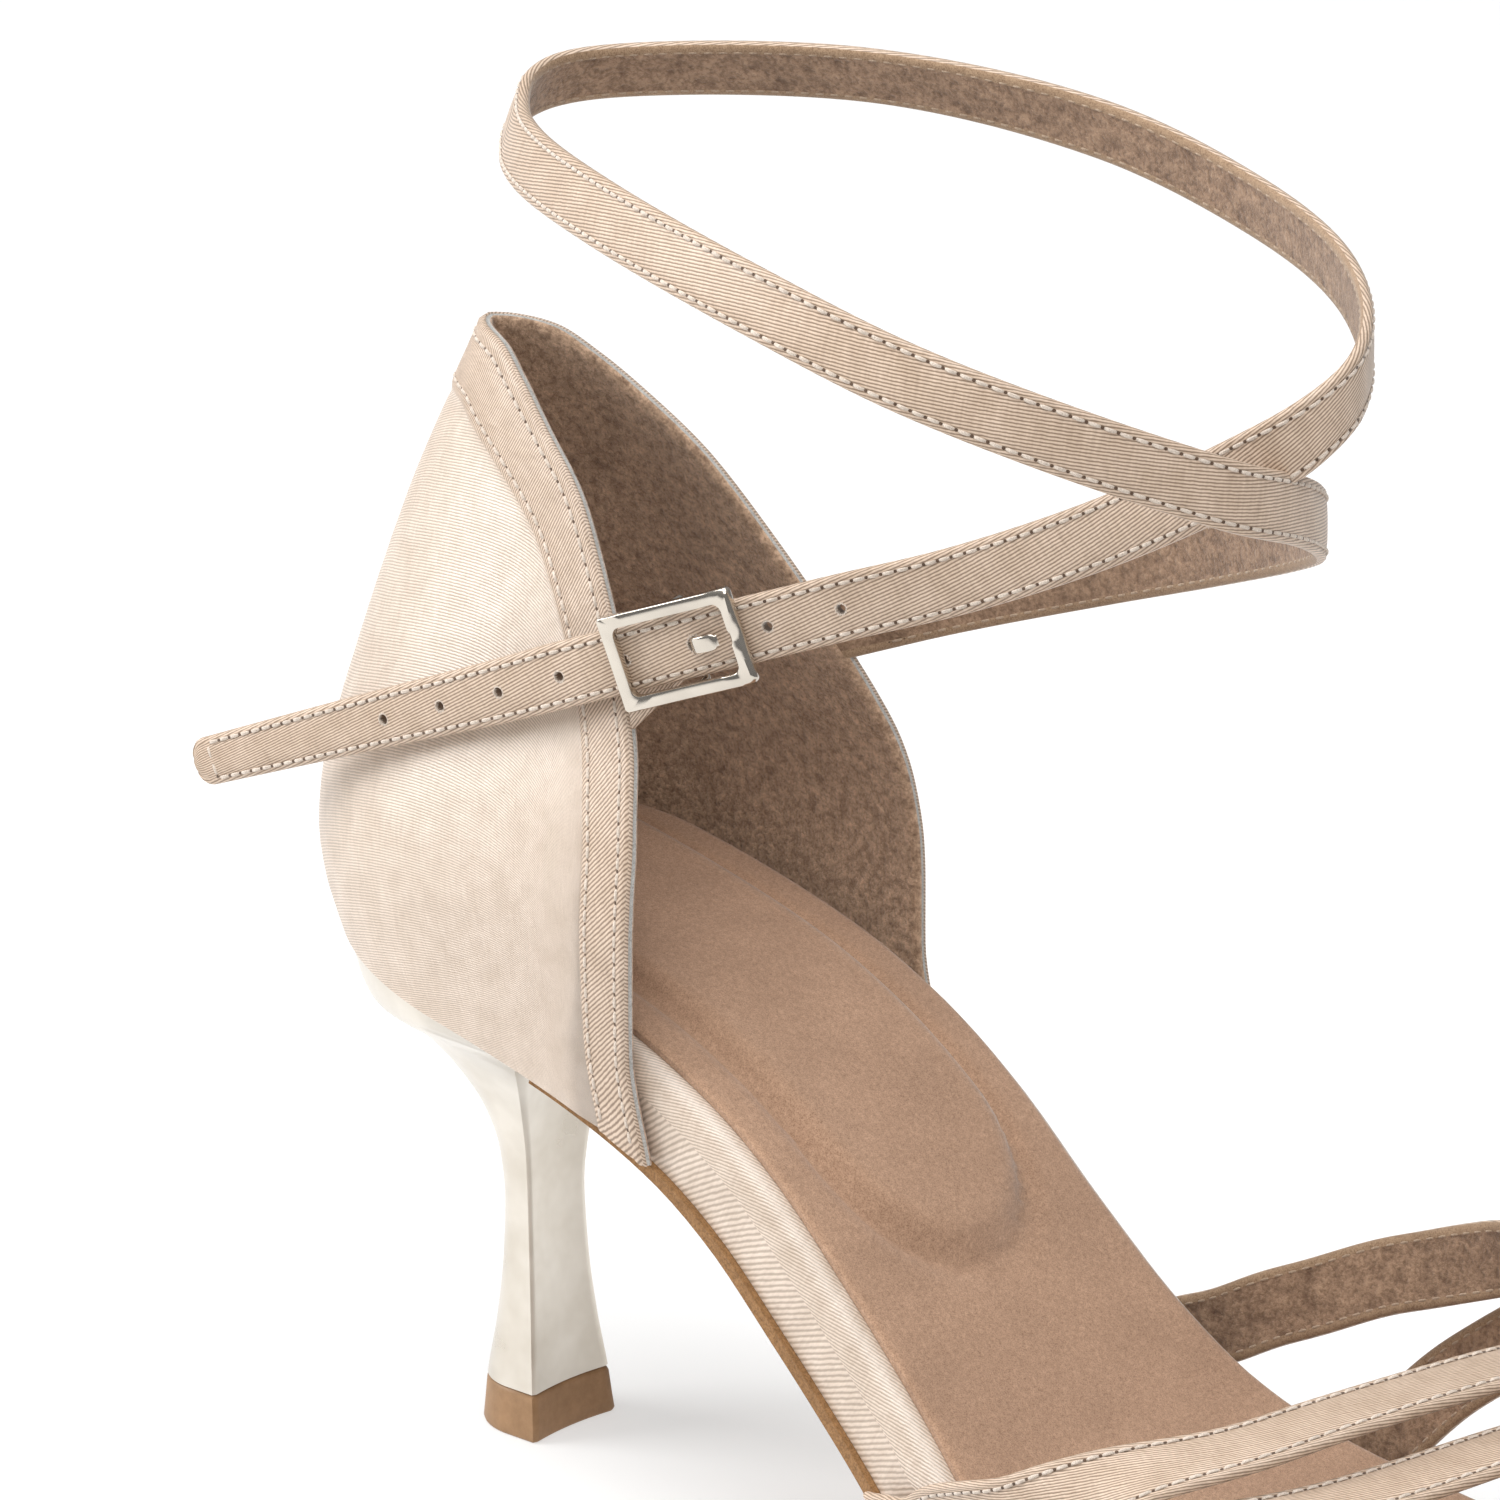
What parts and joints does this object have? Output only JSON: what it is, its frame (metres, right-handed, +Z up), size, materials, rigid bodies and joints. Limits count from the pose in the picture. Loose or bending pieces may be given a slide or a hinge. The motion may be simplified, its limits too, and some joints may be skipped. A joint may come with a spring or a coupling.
{
  "type": "ballroom dance shoe",
  "caption": "Open ballroom sandal with a closed heel counter, flared heel, wrapped ankle strap with buckle and crossed toe straps.",
  "frame": {"origin": "centre of the ground face of the heel tip", "axes": "+X from the heel to the toe, +Y to the inner side of the foot, +Z up"},
  "size_m": [0.2346, 0.0854, 0.1712],
  "materials": {
    "satin": "nude satin weave over a soft lining",
    "sock_suede": "brown suede",
    "sole_suede": "napped chrome suede",
    "plated_heel": "champagne metallic plating",
    "tip_plastic": "brown moulded",
    "nickel": "champagne nickel"
  },
  "bodies": {
    "root": {"outsole": "sole_suede", "insole_board": "satin", "sock": "sock_suede", "heel": "plated_heel", "heel_tip": "tip_plastic", "counter": "satin", "toe_straps": "satin", "ankle_strap": "satin", "buckle_tab": "satin", "buckle_frame": "nickel", "buckle_prong": "nickel"}
  },
  "joints": []
}
